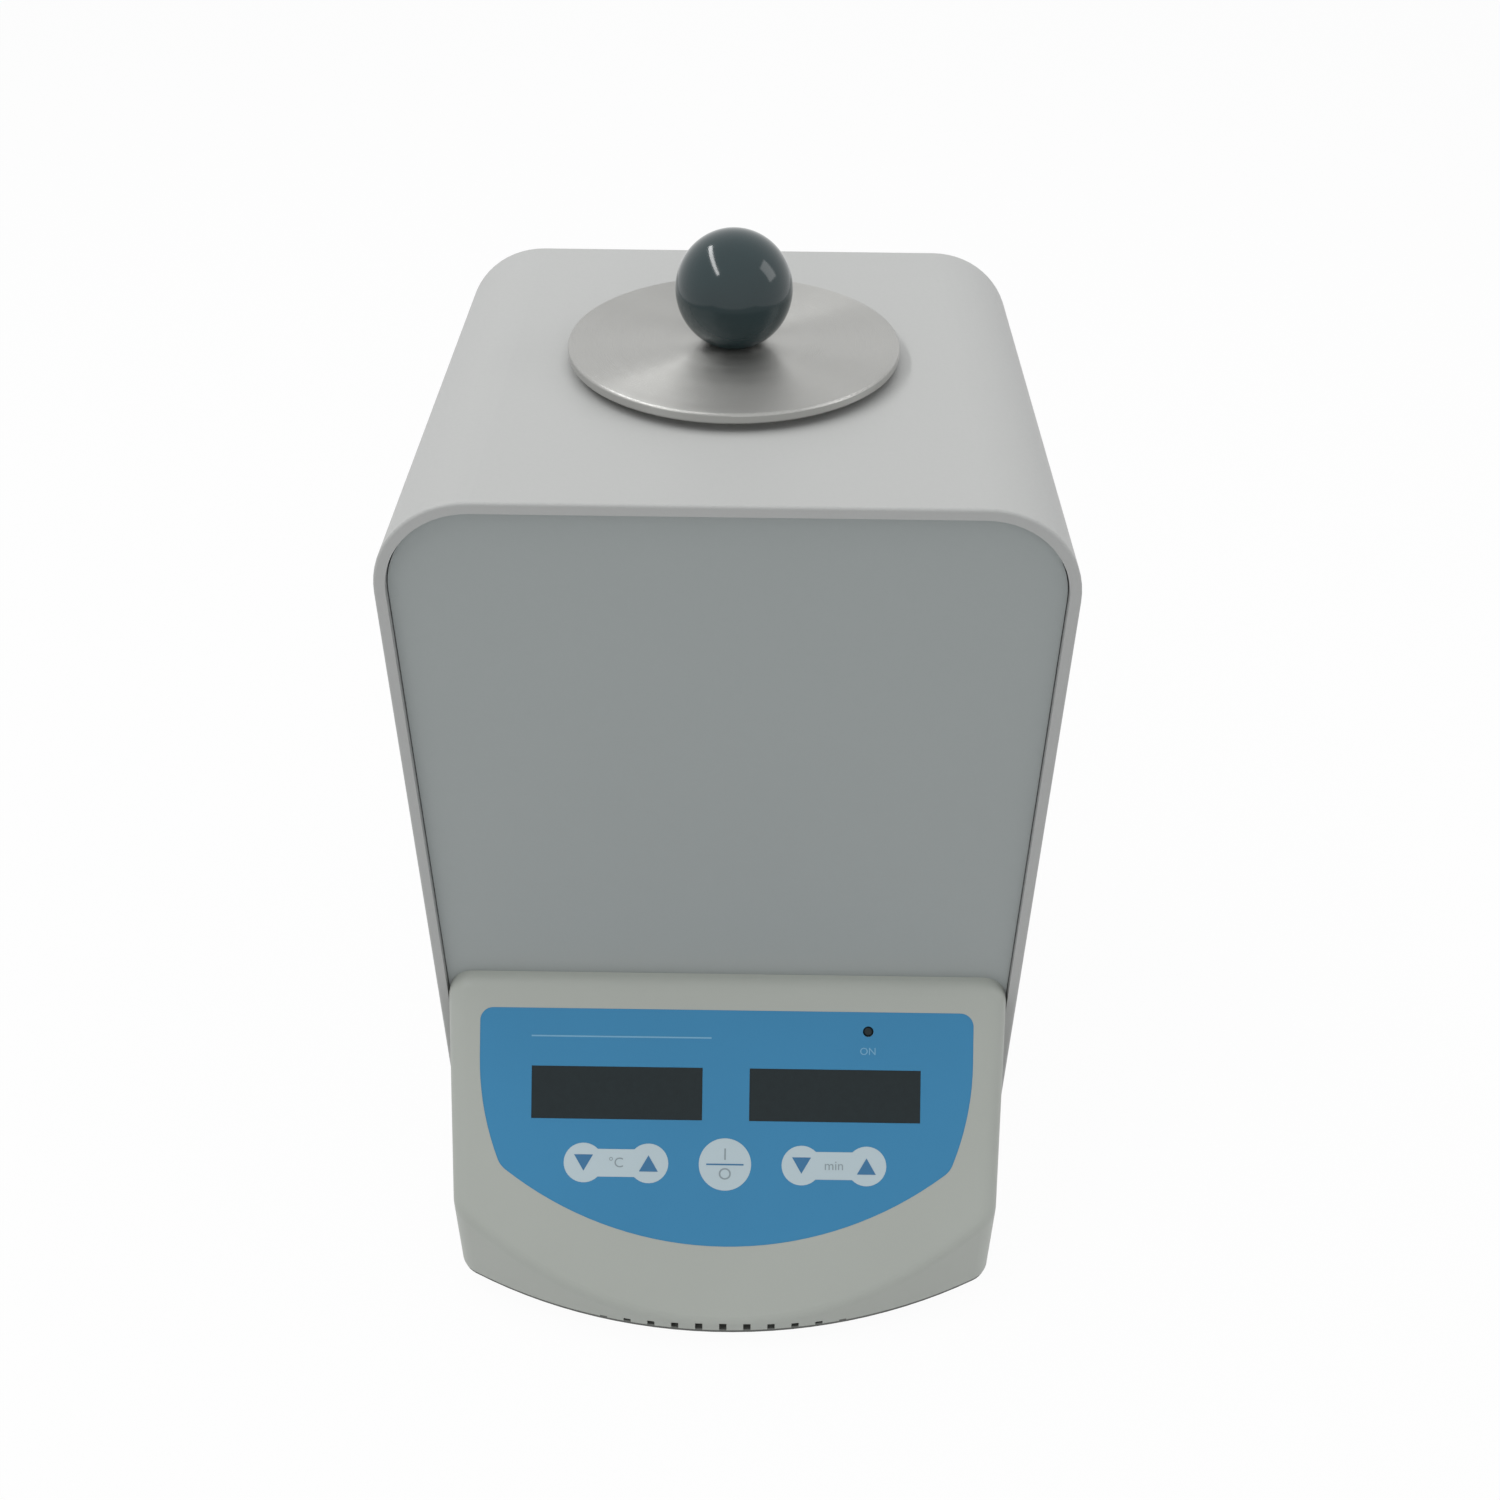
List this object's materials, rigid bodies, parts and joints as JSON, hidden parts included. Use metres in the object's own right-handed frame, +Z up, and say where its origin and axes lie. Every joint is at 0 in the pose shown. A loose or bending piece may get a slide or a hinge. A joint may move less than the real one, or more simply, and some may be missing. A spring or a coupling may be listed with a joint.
{
  "type": "glass bead sterilizer",
  "caption": "Bench heater for lab tools: a round bead well with a steel lid and ball knob in an upright cover, with a sloped control console in front.",
  "frame": {"origin": "on the bench under the middle of the whole device, feet at z = 0", "axes": "+Z up, the operator stands at -Y and faces +Y, +X to the right of the operator"},
  "size_m": [0.1796, 0.23, 0.2883],
  "materials": {
    "anodised_aluminium": "extruded fins",
    "base_coat": "dark grey powder coat",
    "bead_glass": null,
    "black_plastic": "moulded black",
    "board_laminate": "green solder mask",
    "brass": "plain turned brass",
    "capacitor_sleeve": "shrink sleeve",
    "console_plastic": "moulded, fine spark texture, warm grey",
    "cover_paint": "fine satin texture paint, light grey",
    "galvanised_sheet": "zinc-coated sheet",
    "key_plastic": "moulded off-white",
    "knob_resin": "polished phenolic, blue-black",
    "lamp_lens": "dark tinted lens, unlit",
    "mineral_wool": "pressed mineral wool, off-white",
    "module_plastic": "black",
    "overlay_film": "printed polyester film, mid blue, satin",
    "panel_paint": "satin paint, mid blue-grey",
    "relay_case": "blue moulded case",
    "ribbon_jacket": "grey flat cable",
    "rocker_plastic": "polished black",
    "rubber": "matte black",
    "screw_zinc": "bright zinc",
    "stainless": "drawn stainless steel",
    "terminal_plastic": "green moulded strip",
    "thermostat_case": "drawn aluminium cap",
    "transformer_core": "varnished laminations and tape",
    "turned_stainless": "face-turned stainless steel",
    "window_tint": "smoked clear film, near black",
    "wire_jacket": "silicone sleeved leads"
  },
  "bodies": {
    "root": {"base_plate": "base_coat", "bead_fill": "bead_glass", "bead_well": "stainless", "board_screws": "screw_zinc", "buzzer": "black_plastic", "capacitor": "capacitor_sleeve", "chassis_screws": "screw_zinc", "console_screws": "screw_zinc", "control_board": "board_laminate", "control_housing": "console_plastic", "controller_chip": "black_plastic", "cover_screws": "screw_zinc", "display_module_left": "module_plastic", "display_module_right": "module_plastic", "display_window_left": "window_tint", "display_window_right": "window_tint", "earth_stud": "brass", "foot_screws": "screw_zinc", "front_panel": "panel_paint", "fuse_cap": "black_plastic", "fuse_holder": "black_plastic", "heat_shield": "galvanised_sheet", "heat_sink": "anodised_aluminium", "heater_band": "stainless", "heater_screw": "screw_zinc", "inlet_fasteners": "screw_zinc", "inlet_module": "black_plastic", "insulation_base": "mineral_wool", "insulation_sleeve": "mineral_wool", "knob_screw": "screw_zinc", "lid_disc": "turned_stainless", "lid_knob": "knob_resin", "lid_locator": "turned_stainless", "membrane_overlay": "overlay_film", "outer_cover": "cover_paint", "power_board": "board_laminate", "rear_panel": "panel_paint", "relay": "relay_case", "ribbon_cable": "ribbon_jacket", "ribbon_headers": "black_plastic", "rubber_feet": "rubber", "running_lamp": "lamp_lens", "shield_ring": "galvanised_sheet", "standoffs": "brass", "switch_frame": "black_plastic", "tact_switches": "black_plastic", "temperature_probe": "stainless", "terminal_block": "terminal_plastic", "thermal_cutout": "thermostat_case", "transformer": "transformer_core", "triac": "black_plastic", "well_bracket": "galvanised_sheet", "well_collar": "stainless", "wiring": "wire_jacket"},
    "key_start_stop": {"key_start_stop": "key_plastic"},
    "key_temp_down": {"key_temp_down": "key_plastic"},
    "key_temp_up": {"key_temp_up": "key_plastic"},
    "key_time_down": {"key_time_down": "key_plastic"},
    "key_time_up": {"key_time_up": "key_plastic"},
    "rocker": {"rocker": "rocker_plastic"}
  },
  "joints": [
    {"name": "key_start_stop_press", "type": "slide", "parent": "root", "child": "key_start_stop", "axis": [0, 0.7879, -0.6158], "range_m": [0, 0.0003], "stiffness_N_per_m": 3000},
    {"name": "key_temp_down_press", "type": "slide", "parent": "root", "child": "key_temp_down", "axis": [0, 0.7879, -0.6158], "range_m": [0, 0.0003], "stiffness_N_per_m": 3000},
    {"name": "key_temp_up_press", "type": "slide", "parent": "root", "child": "key_temp_up", "axis": [0, 0.7879, -0.6158], "range_m": [0, 0.0003], "stiffness_N_per_m": 3000},
    {"name": "key_time_down_press", "type": "slide", "parent": "root", "child": "key_time_down", "axis": [0, 0.7879, -0.6158], "range_m": [0, 0.0003], "stiffness_N_per_m": 3000},
    {"name": "key_time_up_press", "type": "slide", "parent": "root", "child": "key_time_up", "axis": [0, 0.7879, -0.6158], "range_m": [0, 0.0003], "stiffness_N_per_m": 3000},
    {"name": "rocker_tilt", "type": "hinge", "parent": "root", "child": "rocker", "pos_m": [-0.006, 0.109, 0.0395], "axis": [1, 0, 0], "range_deg": [0, 20]}
  ]
}
